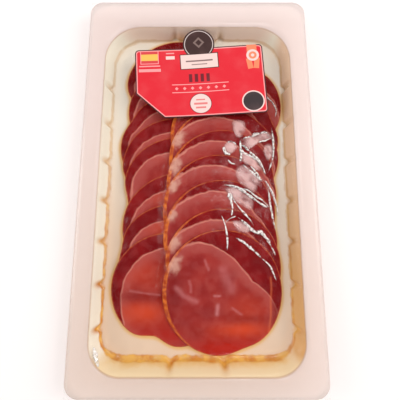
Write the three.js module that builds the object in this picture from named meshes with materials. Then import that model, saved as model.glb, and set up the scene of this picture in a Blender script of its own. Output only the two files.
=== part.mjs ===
// A pack of sliced cured pork loin: a thermoformed tray with fluted walls, two shingled columns of
// slices, the vacuum film that is drawn down over them, and a die-cut label stuck on the film.
// Millimetres. +Z is up, +Y points to the label's end, and the origin is the middle of the underside.
import * as THREE from "three";

// ---------------------------------------------------------------- driving dimensions

const SHEET = 0.5; // the tray's wall
const FLANGE = { width: 140, length: 238, top: 11, corner: 8 };
const RECESS = { width: 118, length: 210, middleY: -4, topCorner: 23, bottomCorner: 18 };
const WALL_RUN = { side: 3.8, top: 2.6, bottom: 7 }; // how far the wall's foot lies inside its rim
const FLUTES = { first: -86.5, pitch: 24.8, count: 7, endX: 15.2, depth: 2.4, half: 3 };
const CORNER_STEPS = 6;
const WALL_SHARES = [1, 0.5, 0]; // where the wall has points, from its foot (1) up to its rim (0)

const SLICE = { radius: 34.4, thickness: 0.65, stations: 30, rings: [0.36, 0.68, 0.88, 1] };
const GAP = 0.3; // between pieces that lie on each other
const SLICE_BEND = 4; // how far ahead a slice starts to rise towards an edge below it

const FILM = { thickness: 0.4, rimIn: 1, footIn: 1.6, across: 18, along: 24, bend: 1.5 };
const LABEL = { width: 81.4, height: 46.6, x: 1.9, y: 62.6, turn: 3.2, corner: 2.5, thickness: 0.3 };
const LABEL_BEND = 20; // it is stiffer than the film, so it starts to rise earlier
const CHAMFER = { along: 17.3, up: 16.9 }; // the cut corner at the label's lower left
const EMBLEM = { radius: 10.2, above: 2.5, across: 0.2 }; // its middle, from the middle of the top edge
const LABEL_STEP = 8; // the longest edge of its outline's facets
const LABEL_CORE = 8; // the radius of the ring in its middle
const LABEL_ARC_STEPS = 3;
const GRID_STEP = 0.5; // of the map of what has been laid
const TINY = 1e-6; // a length or an area below this counts as none

// Each slice: middle X and Y, size factors across and along, turn in degrees, and the depth of the
// dent in its edge with that dent's direction in degrees. They are listed from the label's end, in
// the order in which they were laid, so that each one lies on those before it.
const LEFT_COLUMN = [
  { x: -12.5, y: 65.2, across: 1.0, along: 0.94, turn: 12, dent: 2.5, dentAt: 205 },
  { x: -10.5, y: 45.5, across: 1.0, along: 0.97, turn: -8, dent: 2.0, dentAt: 215 },
  { x: -14.6, y: 24.5, across: 1.01, along: 0.95, turn: 20, dent: 2.0, dentAt: 150 },
  { x: -13.0, y: 8.6, across: 1.0, along: 0.94, turn: 5, dent: 2.4, dentAt: 200 },
  { x: -11.4, y: -5.2, across: 1.0, along: 0.95, turn: -10, dent: 2.0, dentAt: 190 },
  { x: -11.6, y: -28.4, across: 0.99, along: 0.95, turn: 14, dent: 2.0, dentAt: 250 },
  { x: -13.6, y: -47.0, across: 1.0, along: 0.94, turn: 0, dent: 2.0, dentAt: 170 },
  { x: -15.6, y: -64.6, across: 1.02, along: 0.95, turn: -6, dent: 5.3, dentAt: 253 },
];
const RIGHT_COLUMN = [
  { x: 20.5, y: 50.5, across: 0.99, along: 0.98, turn: 8, dent: 2.0, dentAt: 60 },
  { x: 17.4, y: 29.0, across: 1.0, along: 0.99, turn: -12, dent: 2.0, dentAt: 20 },
  { x: 16.8, y: 12.8, across: 1.0, along: 0.98, turn: 5, dent: 1.5, dentAt: -20 },
  { x: 15.6, y: -3.6, across: 1.0, along: 1.0, turn: 16, dent: 2.2, dentAt: 8 },
  { x: 13.4, y: -19.4, across: 0.99, along: 0.99, turn: -6, dent: 2.0, dentAt: 30 },
  { x: 14.4, y: -35.2, across: 1.0, along: 0.99, turn: 10, dent: 1.5, dentAt: 12 },
  { x: 15.2, y: -52.6, across: 1.0, along: 1.0, turn: 0, dent: 1.5, dentAt: 190 },
  { x: 14.6, y: -66.1, across: 1.01, along: 1.03, turn: -10, dent: 1.8, dentAt: 290 },
];
const DENT_WIDTH = 16; // degrees, how fast a dent dies away round the edge

const LOOKS = {
  tray: { color: 0xe9ddcc, roughness: 0.25, metalness: 0 },
  film: { color: 0xf2eee8, roughness: 0.12, metalness: 0, transparent: true, opacity: 0.3 },
  label: { color: 0xf03a4b, roughness: 0.45, metalness: 0 },
  slice: { color: 0x9c3a38, roughness: 0.4, metalness: 0 },
};

// ---------------------------------------------------------------- rings and closed shells

const range = (n) => Array.from({ length: n }, (_, i) => i);
const evenLines = (low, high, steps) => range(steps + 1).map((k) => low + ((high - low) * k) / steps);
const radians = THREE.MathUtils.degToRad;

// The right side of a rounded outline, upwards, with its two corner arcs. edge says where the sides
// lie, and corner where the middles of the arcs lie, which may be quarter ellipses.
function rightSide(edge, corner, sides) {
  const { bottomX, bottomY, topX, topY } = corner;
  const arc = (cx, cy, rx, ry, start) =>
    range(CORNER_STEPS + 1).map((k) => {
      const a = start + (k / CORNER_STEPS) * (Math.PI / 2);
      const [nx, ny] = [Math.cos(a), Math.sin(a)];
      return { x: cx + rx * nx, y: cy + ry * ny, nx, ny };
    });
  return [
    ...arc(bottomX, bottomY, edge.side - bottomX, bottomY - edge.bottom, -Math.PI / 2),
    ...sides.map((y) => ({ x: edge.side, y, nx: 1, ny: 0 })),
    ...arc(topX, topY, edge.side - topX, edge.top - topY, 0),
  ];
}

// A ring round the pack, anticlockwise from the middle of its lower end, with extra points at the
// places ends along each end, the first of them in the middle, and at the places sides along each side.
function packRing(edge, corner, ends, sides) {
  const lower = ends.map((x) => ({ x, y: edge.bottom, nx: 0, ny: -1 }));
  const upper = ends.map((x) => ({ x, y: edge.top, nx: 0, ny: 1 }));
  const half = [...lower, ...rightSide(edge, corner, sides), ...upper.reverse()];
  const mirrored = half.slice(1, -1).reverse();
  return [...half, ...mirrored.map((p) => ({ ...p, x: -p.x, nx: -p.nx }))];
}

const atHeight = (ring, z) => ring.map(({ x, y }) => ({ x, y, z }));

// The faces between a ring and the wider one round it, each given by its point numbers.
const band = (a, b) =>
  a.flatMap((at, i) => {
    const j = (i + 1) % a.length;
    return [
      [at, b[i], b[j]],
      [at, b[j], a[j]],
    ];
  });

// The faces between rings of n points each, numbered in their order.
const bands = (count, n) => {
  const ring = (r) => range(n).map((i) => r * n + i);
  return range(count - 1).flatMap((r) => band(ring(r), ring(r + 1)));
};

// The faces that close a level ring of any outline.
function levelCap(ring) {
  const outline = ring.map((p) => new THREE.Vector2(p.x, p.y));
  return THREE.ShapeUtils.triangulateShape(outline, []);
}

// The faces that close a round ring of n points, an even number, by strips across it. It serves a
// sheet that isn't level.
function stripCap(n) {
  const faces = [[0, 1, n - 1]];
  for (let k = 1; k < n / 2 - 1; k++) faces.push([k, k + 1, n - k], [k + 1, n - k - 1, n - k]);
  return [...faces, [n / 2 - 1, n / 2, n / 2 + 1]];
}

const reversed = (faces) => faces.map(([a, b, c]) => [a, c, b]);
const shifted = (faces, by) => faces.map((face) => face.map((i) => i + by));

function solid(points, faces) {
  const geometry = new THREE.BufferGeometry();
  const flat = points.flatMap((p) => [p.x, p.y, p.z]);
  geometry.setAttribute("position", new THREE.Float32BufferAttribute(flat, 3));
  geometry.setIndex(faces.flat());
  geometry.computeVertexNormals();
  return geometry;
}

// A sheet is its points, its faces seen from above, and the points of its border, anticlockwise.
function ringSheet(rings) {
  const n = rings[0].length;
  const border = range(n).map((i) => (rings.length - 1) * n + i);
  return { points: rings.flat(), faces: [...stripCap(n), ...bands(rings.length, n)], border };
}

// A sheet that fills an outline with rows of points and then widens to the outlines round it. Each
// outline is its right side alone, because the left one is the same mirrored.
function filledSheet([inner, ...wider], across) {
  const [w, h] = [across + 1, inner.length];
  const row = ({ x, y }) => evenLines(-x, x, across).map((at) => ({ x: at, y }));
  const rows = (outline) => outline.flatMap(row);
  const cell = (a) => [
    [a, a + 1, a + w + 1],
    [a, a + w + 1, a + w],
  ];
  const faces = range(h - 1).flatMap((j) => range(across).flatMap((i) => cell(j * w + i)));
  const border = [
    ...range(across),
    ...range(h - 1).map((j) => j * w + across),
    ...range(across).map((i) => h * w - 1 - i),
    ...range(h - 1).map((j) => (h - 1 - j) * w),
  ];
  const rings = wider.map(rows).map((points) => border.map((i) => points[i]));
  const numbers = [border, ...rings.map((ring, r) => ring.map((_, i) => h * w + r * ring.length + i))];
  const joins = range(wider.length).flatMap((r) => band(numbers[r], numbers[r + 1]));
  return { points: [...rows(inner), ...rings.flat()], faces: [...faces, ...joins], border: numbers.at(-1) };
}

// The closed body between a sheet and its copy that lies higher by the thickness.
function thickened({ points, faces, border }, thickness) {
  const n = points.length;
  const rim = border.flatMap((a, k) => {
    const b = border[(k + 1) % border.length];
    return [
      [a, b, n + b],
      [a, n + b, n + a],
    ];
  });
  const above = points.map((p) => ({ ...p, z: p.z + thickness }));
  return solid([...points, ...above], [...reversed(faces), ...shifted(faces, n), ...rim]);
}

// ---------------------------------------------------------------- what a limp sheet lies on

// The height of what has been laid so far, on a square grid over the pack.
class HeightMap {
  constructor(step, floor) {
    this.step = step;
    this.nx = Math.ceil(FLANGE.width / step) + 1;
    this.ny = Math.ceil(FLANGE.length / step) + 1;
    this.z = new Float32Array(this.nx * this.ny).fill(floor);
  }

  column(x) {
    return (x + FLANGE.width / 2) / this.step;
  }

  row(y) {
    return (y + FLANGE.length / 2) / this.step;
  }

  at(x, y) {
    const i = Math.min(this.nx - 1, Math.max(0, Math.round(this.column(x))));
    const j = Math.min(this.ny - 1, Math.max(0, Math.round(this.row(y))));
    return this.z[j * this.nx + i];
  }

  // Calls visit with each grid point inside the triangle abc and the triangle's own height there.
  scan([a, b, c], visit) {
    const area = (b.x - a.x) * (c.y - a.y) - (c.x - a.x) * (b.y - a.y);
    if (Math.abs(area) < TINY) return;
    const [left, right] = [Math.min(a.x, b.x, c.x), Math.max(a.x, b.x, c.x)].map((x) => this.column(x));
    const [low, high] = [Math.min(a.y, b.y, c.y), Math.max(a.y, b.y, c.y)].map((y) => this.row(y));
    for (let j = Math.max(0, Math.ceil(low)); j <= Math.min(this.ny - 1, high); j++) {
      for (let i = Math.max(0, Math.ceil(left)); i <= Math.min(this.nx - 1, right); i++) {
        const x = i * this.step - FLANGE.width / 2 - a.x;
        const y = j * this.step - FLANGE.length / 2 - a.y;
        const u = (x * (c.y - a.y) - y * (c.x - a.x)) / area;
        const v = (y * (b.x - a.x) - x * (b.y - a.y)) / area;
        if (u < 0 || v < 0 || u + v > 1) continue;
        visit(j * this.nx + i, a.z + u * (b.z - a.z) + v * (c.z - a.z));
      }
    }
  }

  // Takes in a facet that now lies there, of a piece that is so thick.
  cover(facet, thickness) {
    this.scan(facet, (node, z) => (this.z[node] = Math.max(this.z[node], z + thickness)));
  }

  // A copy in which a ramp comes before every edge: the highest point within reach, then the mean
  // within reach, so that it is nowhere lower than this map.
  softened(reach) {
    const r = Math.round(reach / this.step);
    const pass = (source, stride, count, lines, lineStride, highest) => {
      const out = new Float32Array(source.length);
      for (let line = 0; line < lines; line++) {
        for (let k = 0; k < count; k++) {
          const [from, to] = [Math.max(0, k - r), Math.min(count - 1, k + r)];
          let [most, sum] = [-Infinity, 0];
          for (let m = from; m <= to; m++) {
            const z = source[line * lineStride + m * stride];
            if (z > most) most = z;
            sum += z;
          }
          out[line * lineStride + k * stride] = highest ? most : sum / (to - from + 1);
        }
      }
      return out;
    };
    const rows = (source, highest) => pass(source, 1, this.nx, this.ny, this.nx, highest);
    const columns = (source, highest) => pass(source, this.nx, this.ny, this.nx, 1, highest);
    const soft = new HeightMap(this.step, 0);
    soft.z = columns(rows(columns(rows(this.z, true), true), false), false);
    return soft;
  }
}

// Lays a sheet of even thickness on the map and returns it as a closed body. Its underside starts
// from the softened heights, and each facet that would dip into what lies below is lifted clear.
function lay(map, sheet, thickness, bend) {
  const soft = map.softened(bend);
  const corners = (face) => face.map((i) => sheet.points[i]);
  for (const p of sheet.points) p.z = soft.at(p.x, p.y) + GAP;
  for (const face of sheet.faces) {
    let lift = 0;
    map.scan(corners(face), (node, z) => (lift = Math.max(lift, map.z[node] + GAP - z)));
    corners(face).forEach((p) => (p.z += lift));
  }
  for (const face of sheet.faces) map.cover(corners(face), thickness);
  return thickened(sheet, thickness);
}

// ---------------------------------------------------------------- the tray

const recessEdge = (side, top, bottom) => ({
  side: RECESS.width / 2 - side,
  top: RECESS.middleY + RECESS.length / 2 - top,
  bottom: RECESS.middleY - RECESS.length / 2 + bottom,
});
const RIM = recessEdge(0, 0, 0);
const RECESS_CORNER = {
  topX: RIM.side - RECESS.topCorner,
  topY: RIM.top - RECESS.topCorner,
  bottomX: RIM.side - RECESS.bottomCorner,
  bottomY: RIM.bottom + RECESS.bottomCorner,
};
const OUTER = { side: FLANGE.width / 2, top: FLANGE.length / 2, bottom: -FLANGE.length / 2 };
const OUTER_CORNER = {
  topX: OUTER.side - FLANGE.corner,
  topY: OUTER.top - FLANGE.corner,
  bottomX: OUTER.side - FLANGE.corner,
  bottomY: OUTER.bottom + FLANGE.corner,
};
const GROOVES = range(FLUTES.count).map((k) => FLUTES.first + k * FLUTES.pitch);

// Places along the sides where the flutes need a point: each groove, its two shoulders and the
// middle of the panel above it.
const FLUTE_SIDES = GROOVES.flatMap((y) => [y - FLUTES.half, y, y + FLUTES.half, y + FLUTES.pitch / 2]);
FLUTE_SIDES.pop();
const FLUTE_ENDS = [0, FLUTES.endX - FLUTES.half, FLUTES.endX, FLUTES.endX + FLUTES.half];

// How deep a groove cuts outwards at a point of the wall, from 0 to 1.
function groove({ x, y, nx, ny }) {
  if (nx !== 0 && ny !== 0) return 0;
  const offSide = Math.min(...GROOVES.map((g) => Math.abs(y - g)));
  const offEnd = Math.abs(Math.abs(x) - FLUTES.endX);
  return Math.max(0, 1 - (ny === 0 ? offSide : offEnd) / FLUTES.half);
}

// A ring on the wall, at a share of the way from the rim (0) down to the foot (1), and set out by
// the thickness of the sheet where it is the wall's outer side.
function wallRing(share, out) {
  const run = (full) => full * share - out;
  const edge = recessEdge(run(WALL_RUN.side), run(WALL_RUN.top), run(WALL_RUN.bottom));
  const ring = packRing(edge, RECESS_CORNER, FLUTE_ENDS, FLUTE_SIDES);
  return ring.map((p) => {
    const move = FLUTES.depth * groove(p) * share;
    return { ...p, x: p.x + p.nx * move, y: p.y + p.ny * move };
  });
}

const wallHeight = (share) => SHEET + (FLANGE.top - SHEET) * (1 - share);

function trayGeometry() {
  const outer = packRing(OUTER, OUTER_CORNER, FLUTE_ENDS, FLUTE_SIDES);
  const inside = WALL_SHARES.map((s) => atHeight(wallRing(s, 0), wallHeight(s)));
  const outside = WALL_SHARES.map((s) => atHeight(wallRing(s, SHEET), wallHeight(s) - SHEET)).reverse();
  const rings = [...inside, atHeight(outer, FLANGE.top), atHeight(outer, FLANGE.top - SHEET), ...outside];
  const n = outer.length;
  const underside = shifted(reversed(levelCap(rings.at(-1))), (rings.length - 1) * n);
  return solid(rings.flat(), [...levelCap(rings[0]), ...bands(rings.length, n), ...underside]);
}

// ---------------------------------------------------------------- the slices

function sliceRing(slice, scale) {
  return range(SLICE.stations).map((k) => {
    const angle = (k / SLICE.stations) * 2 * Math.PI;
    const off = THREE.MathUtils.euclideanModulo(k * (360 / SLICE.stations) - slice.dentAt + 180, 360) - 180;
    const radius = SLICE.radius - slice.dent * Math.exp(-((off / DENT_WIDTH) ** 2));
    const turn = radians(slice.turn);
    const [u, v] = [Math.cos(angle - turn) * slice.across, Math.sin(angle - turn) * slice.along];
    return {
      x: slice.x + scale * radius * (u * Math.cos(turn) - v * Math.sin(turn)),
      y: slice.y + scale * radius * (u * Math.sin(turn) + v * Math.cos(turn)),
    };
  });
}

function sliceGeometry(map, slice) {
  const sheet = ringSheet(SLICE.rings.map((scale) => sliceRing(slice, scale)));
  return lay(map, sheet, SLICE.thickness, SLICE_BEND);
}

// ---------------------------------------------------------------- the film

function filmGeometry(map) {
  const { side, top, bottom } = WALL_RUN;
  const foot = recessEdge(side + FILM.footIn, top + FILM.footIn, bottom + FILM.footIn);
  const rim = recessEdge(FILM.rimIn, FILM.rimIn, FILM.rimIn);
  const sides = evenLines(RECESS_CORNER.bottomY, RECESS_CORNER.topY, FILM.along).slice(1, -1);
  const outlines = [
    rightSide(foot, RECESS_CORNER, sides),
    rightSide(rim, RECESS_CORNER, sides),
    rightSide(OUTER, OUTER_CORNER, sides),
  ];
  return lay(map, filledSheet(outlines, FILM.across), FILM.thickness, FILM.bend);
}

// ---------------------------------------------------------------- the label

// The die-cut outline round the label's own middle: a rectangle with round corners, its lower left
// one cut off, and the round emblem standing proud of the top edge.
function labelOutline() {
  const [w, h, r] = [LABEL.width / 2, LABEL.height / 2, LABEL.corner];
  const tilt = Math.asin(EMBLEM.above / EMBLEM.radius);
  const outline = new THREE.Shape();
  outline.moveTo(-w, -h + CHAMFER.up);
  outline.lineTo(-w + CHAMFER.along, -h);
  outline.absarc(w - r, -h + r, r, -Math.PI / 2, 0, false);
  outline.absarc(w - r, h - r, r, 0, Math.PI / 2, false);
  outline.absarc(EMBLEM.across, h + EMBLEM.above, EMBLEM.radius, -tilt, Math.PI + tilt, false);
  outline.absarc(-w + r, h - r, r, Math.PI / 2, Math.PI, false);
  outline.closePath();
  return subdivided(outline.getPoints(LABEL_ARC_STEPS));
}

// The same outline with no edge longer than the label's step.
function subdivided(points) {
  const corners = points.filter((p, k) => p.distanceTo(points.at(k - 1)) > TINY);
  return corners.flatMap((a, k) => {
    const b = corners[(k + 1) % corners.length];
    const steps = Math.ceil(a.distanceTo(b) / LABEL_STEP);
    return range(steps).map((i) => a.clone().lerp(b, i / steps));
  });
}

// The label as a sheet of three rings, which have an even number of points each.
function labelGeometry(map) {
  const outline = labelOutline();
  if (outline.length % 2) outline.push(outline.at(-1).clone().lerp(outline[0], 0.5));
  const turn = radians(LABEL.turn);
  const middle = new THREE.Vector2();
  const place = (p) => p.clone().rotateAround(middle, turn).add(new THREE.Vector2(LABEL.x, LABEL.y));
  const core = outline.map((p) => place(p.clone().setLength(LABEL_CORE)));
  const edge = outline.map(place);
  const between = edge.map((p, k) => p.clone().lerp(core[k], 0.5));
  const rings = [core, between, edge].map((ring) => ring.map(({ x, y }) => ({ x, y })));
  return lay(map, ringSheet(rings), LABEL.thickness, LABEL_BEND);
}

// ---------------------------------------------------------------- the pack

const pack = new THREE.Group();

function addPiece(name, geometry, look) {
  const mesh = new THREE.Mesh(geometry, new THREE.MeshStandardMaterial(look));
  mesh.name = name;
  pack.add(mesh);
}

// The tray's upper side joins the map only after the slices, which lie on the floor between its walls.
function coverTray(map, geometry) {
  const at = geometry.getAttribute("position");
  const index = geometry.getIndex();
  const corner = (k) => {
    const i = index.getX(k);
    return { x: at.getX(i), y: at.getY(i), z: at.getZ(i) };
  };
  for (let k = 0; k < index.count; k += 3) map.cover([corner(k), corner(k + 1), corner(k + 2)], 0);
}

const stack = new HeightMap(GRID_STEP, SHEET);
const tray = trayGeometry();
addPiece("tray", tray, LOOKS.tray);
for (const [side, column] of Object.entries({ left: LEFT_COLUMN, right: RIGHT_COLUMN })) {
  column.forEach((slice, i) => {
    addPiece(`slice_${side}_${i + 1}`, sliceGeometry(stack, slice), LOOKS.slice);
  });
}
coverTray(stack, tray);
addPiece("film", filmGeometry(stack), LOOKS.film);
addPiece("label", labelGeometry(stack), LOOKS.label);

export default pack;
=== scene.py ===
# %% [markdown]
# # A sealed pack of sliced cured pork loin
# A shallow clear tray holds two shingled columns of thin slices. A clear film is sealed to the tray's
# flange and drawn down over the meat, and a red label is stuck on the film near one end.
# This lesson replaces each solid of the frame with a finer surface of the same form, worked out with
# numpy, and gives it the colours and finish of the real thing.

# %% Load the frame
import math
from functools import partialmethod

import bpy
import numpy as np
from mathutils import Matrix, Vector


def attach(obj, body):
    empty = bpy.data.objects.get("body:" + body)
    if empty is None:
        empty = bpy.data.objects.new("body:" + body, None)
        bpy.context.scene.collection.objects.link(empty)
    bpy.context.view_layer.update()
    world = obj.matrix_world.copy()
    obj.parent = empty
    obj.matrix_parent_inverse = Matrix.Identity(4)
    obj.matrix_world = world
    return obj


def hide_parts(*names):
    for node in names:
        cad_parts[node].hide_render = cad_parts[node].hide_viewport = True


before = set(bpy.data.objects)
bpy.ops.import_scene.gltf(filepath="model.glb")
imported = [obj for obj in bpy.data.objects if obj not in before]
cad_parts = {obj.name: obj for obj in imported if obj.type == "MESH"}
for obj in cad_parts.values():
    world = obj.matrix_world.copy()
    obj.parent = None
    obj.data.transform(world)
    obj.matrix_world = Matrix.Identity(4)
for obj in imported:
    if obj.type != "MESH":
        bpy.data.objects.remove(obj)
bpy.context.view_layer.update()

MM = 0.001

# %% [markdown]
# ## The camera
# The pack was photographed with a phone, close by and from almost straight above. Its lens sees about
# 67 degrees over its long side, so the near end of the pack looks wider than the far end. The camera
# here gets the same angle and distance.

# %% Place the camera
def placed(name, data):
    obj = bpy.data.objects.new(name, data)
    bpy.context.collection.objects.link(obj)
    return obj


def looking(name, data, place, aim):
    """A camera and a light look along their own -Z, so that axis is turned from place to aim."""
    obj = placed(name, data)
    obj.location = place
    obj.rotation_euler = (aim - place).to_track_quat("-Z", "Y").to_euler()
    return obj


AIM = Vector((1.57, -13.35, 11.0)) * MM
ELEVATION = math.radians(80.4)
DISTANCE = 165 * MM

lens = bpy.data.cameras.new("camera")
lens.sensor_width, lens.lens, lens.clip_start = 36, 25.47, 0.01
eye = AIM + DISTANCE * Vector((0, -math.cos(ELEVATION), math.sin(ELEVATION)))
camera = looking("camera", lens, eye, AIM)
bpy.context.scene.camera = camera
print("camera at", [round(v / MM, 1) for v in camera.location], "mm")

# %% [markdown]
# ## Colours
# A screen's colours are numbers from 0 to 255, but a shader works with light, which grows faster. One
# function turns the first into the second, so that colours can be named as they look. The Standard
# view shows them unchanged, where the default one would grey the reds.

# %% Turn screen colours into light
bpy.context.scene.view_settings.view_transform = "Standard"


def shade(r, g, b):
    """Each of the three is divided by 255; below 0.04045 it is divided by 12.92, and otherwise it is
    (c + 0.055) / 1.055 to the power 2.4."""
    c = np.array([r, g, b]) / 255
    light = np.where(c <= 0.04045, c / 12.92, ((c + 0.055) / 1.055) ** 2.4)
    return (*[float(v) for v in light], 1.0)

# %% [markdown]
# ## Floor and light
# The pack lies on a pale table in soft light. Shiny film mirrors whatever is above it, so the two large
# soft boxes hang low on the sides, where the camera sees none of them in the film. A narrow one higher
# up on the right is the lamp whose haze does show, over the upper part of the right column.

# %% Build the floor
FLOOR_LEVEL = -0.1 * MM
mesh = bpy.data.meshes.new("floor")
corners = [(3 * x, 3 * y, FLOOR_LEVEL) for x, y in ((-1, -1), (1, -1), (1, 1), (-1, 1))]
mesh.from_pydata(corners, [], [(0, 1, 2, 3)])
floor = placed("floor", mesh)
table = bpy.data.materials.new("pale_table")
table.use_nodes = True
table_shader = table.node_tree.nodes["Principled BSDF"]
table_shader.inputs["Base Color"].default_value = shade(249, 243, 242)
table_shader.inputs["Roughness"].default_value = 0.8
floor.data.materials.append(table)
print("floor at", FLOOR_LEVEL / MM, "mm")

# %% Hang the lights
def softbox(name, place, aim, width, length, watts, tint):
    """A rectangular light at place that looks at aim; all lengths in millimetres."""
    data = bpy.data.lights.new(name, "AREA")
    data.shape = "RECTANGLE"
    data.size, data.size_y = width * MM, length * MM
    data.energy = watts
    data.color = tint
    return looking(name, data, Vector(place) * MM, Vector(aim) * MM)


softbox("right_light", (760, 120, 560), (0, 0, 0), 600, 600, 3.8, (1.0, 0.985, 0.97))
softbox("left_light", (-760, 60, 330), (0, 0, 0), 520, 520, 2.3, (1.0, 0.98, 0.97))
softbox("lamp", (100, 152, 600), (20, 0, 10), 110, 240, 0.42, (1.0, 0.95, 0.94))
world = bpy.context.scene.world or bpy.data.worlds.new("world")
bpy.context.scene.world = world
world.use_nodes = True
sky = world.node_tree.nodes["Background"]
sky.inputs["Color"].default_value = (1.0, 0.985, 0.975, 1.0)
sky.inputs["Strength"].default_value = 0.76
print(len(bpy.data.lights), "lights and the sky")

# %% [markdown]
# ## How a surface becomes a piece
# Every piece is a closed surface, mostly a profile carried round an outline. Its points are worked out
# as whole arrays, and one helper makes the mesh, with any number per point that a material needs.

# %% Close a surface between two poles
def carried_round(rings):
    """rings[k, s] is point s of ring k. Quads join each ring to the next, and a fan of triangles joins
    the first and the last ring to a pole, the mean of its points."""
    at = np.arange(rings[..., 0].size).reshape(rings.shape[:2])
    after, pole = np.roll(at, -1, 1), np.full_like(at[0], at.size)
    quads = np.stack([at[:-1], after[:-1], after[1:], at[1:]], -1).reshape(-1, 4)
    fans = [np.stack([pole, after[0], at[0]], -1), np.stack([pole + 1, at[-1], after[-1]], -1)]
    points = np.concatenate([rings.reshape(-1, 3), rings[[0, -1]].mean(1)])
    return points, [quads, np.concatenate(fans)]


def poles_too(values):
    """The same for numbers on the points: values[k, s] in a row, then the two poles' means."""
    return np.concatenate([values.ravel(), values[[0, -1]].mean(1)])

# %% Put points and faces into a mesh piece
def make_piece(name, points, faces, material, nodes, values=None, chart=None):
    """Points are in millimetres. faces is a list of arrays, one per number of corners. values are
    numbers per point, by name, and chart is two numbers per point that become the piece's UV map."""
    mesh = bpy.data.meshes.new(name)
    corners = np.concatenate([f.ravel() for f in faces]).astype(np.int32)
    sizes = np.concatenate([np.full(len(f), f.shape[1]) for f in faces])
    mesh.vertices.add(len(points))
    mesh.vertices.foreach_set("co", (points * MM).astype(np.float32).ravel())
    mesh.loops.add(len(corners))
    mesh.loops.foreach_set("vertex_index", corners)
    mesh.polygons.add(len(sizes))
    mesh.polygons.foreach_set("loop_start", (np.cumsum(sizes) - sizes).astype(np.int32))
    mesh.update(calc_edges=True)
    mesh.shade_smooth()
    for key, value in (values or {}).items():
        mesh.attributes.new(key, "FLOAT", "POINT").data.foreach_set("value", value.astype(np.float32))
    if chart is not None:
        layer = mesh.uv_layers.new(name="chart")
        layer.uv.foreach_set("vector", chart[corners].astype(np.float32).ravel())
    mesh.materials.append(material)
    obj = placed(name, mesh)
    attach(obj, "root")
    if nodes:
        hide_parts(*nodes)
    print(name, "has", len(sizes), "faces")

# %% [markdown]
# ## How a material is drawn
# A material is a chain of small sums, such as a noise times a step, and its Principled shader takes the
# results. One helper class keeps the chains short, with a method for each sum.

# %% Write node chains in few words
class Chain:
    """A node tree, with one method for each kind of node that the finishes need."""

    def __init__(self, tree):
        self.tree = tree

    def feed(self, node, inputs):
        """An output is wired to the input, and a plain value is set on the input itself."""
        for key, value in inputs.items():
            if isinstance(value, bpy.types.NodeSocket):
                self.tree.links.new(value, node.inputs[key])
            else:
                node.inputs[key].default_value = value

    def node(self, kind, inputs=None, **settings):
        made = self.tree.nodes.new(kind)
        for key, value in settings.items():
            setattr(made, key, value)
        self.feed(made, inputs or {})
        return made

    def math(self, operation, *terms, clamp=False):
        made = self.node("ShaderNodeMath", dict(enumerate(terms)), operation=operation, use_clamp=clamp)
        return made.outputs[0]

    plus, minus = partialmethod(math, "ADD"), partialmethod(math, "SUBTRACT")
    times, larger = partialmethod(math, "MULTIPLY"), partialmethod(math, "MAXIMUM")

    def vector(self, operation, *terms):
        return self.node("ShaderNodeVectorMath", dict(enumerate(terms)), operation=operation).outputs

    def value(self, name):
        """A number that make_piece has put on the points."""
        return self.node("ShaderNodeAttribute", attribute_name=name).outputs["Fac"]

    def step(self, value, start, end):
        """0 where value is start, 1 where it is end, and a smooth rise between them."""
        inputs = {"Value": value, "From Min": start, "From Max": end}
        made = self.node("ShaderNodeMapRange", inputs, interpolation_type="SMOOTHSTEP")
        return made.outputs["Result"]

    def blend(self, share, first, second):
        """From the first colour to the second. Screen colours are turned into light."""
        first, second = (shade(*tone) if isinstance(tone, tuple) else tone for tone in (first, second))
        return self.node("ShaderNodeMix", {0: share, 6: first, 7: second}, data_type="RGBA").outputs[2]

    def layers(self, colour, *coats):
        """Each coat is a share and a colour, and lies over the ones before it."""
        for share, tone in coats:
            colour = self.blend(share, colour, tone)
        return colour

    def noise(self, size, detail=3.0, stretch=(1, 1, 1)):
        """Cloudy values round 0.5 whose patches are about so many millimetres across."""
        where = self.node("ShaderNodeTexCoord").outputs["Object"]
        scaled = self.vector("MULTIPLY", where, tuple(s / (size * MM) for s in stretch))[0]
        inputs = {"Vector": scaled, "Scale": 1.0, "Detail": detail}
        return self.node("ShaderNodeTexNoise", inputs).outputs["Fac"]

    def wander(self, size, reach, detail=3.0):
        """The same round 0, so many times larger."""
        return self.times(self.minus(self.noise(size, detail), 0.5), reach)

    def relief(self, height, depth):
        """A normal that follows a height of 0 to 1, so many millimetres deep."""
        inputs = {"Height": height, "Distance": depth * MM, "Strength": 1.0}
        return self.node("ShaderNodeBump", inputs).outputs["Normal"]


def new_material(name):
    material = bpy.data.materials.new(name)
    material.use_nodes = True
    chain = Chain(material.node_tree)
    return material, chain, material.node_tree.nodes["Principled BSDF"]

# %% [markdown]
# ## The slices
# Cured loin is cut across one long muscle with a thinner one lying along it. So every slice shows the
# same picture: a dark red crescent on one side, a pale seam of fat, a little wedge of fat where the
# seam starts, and the lighter round muscle. A thin orange-brown coat of paprika runs round the edge.

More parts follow.
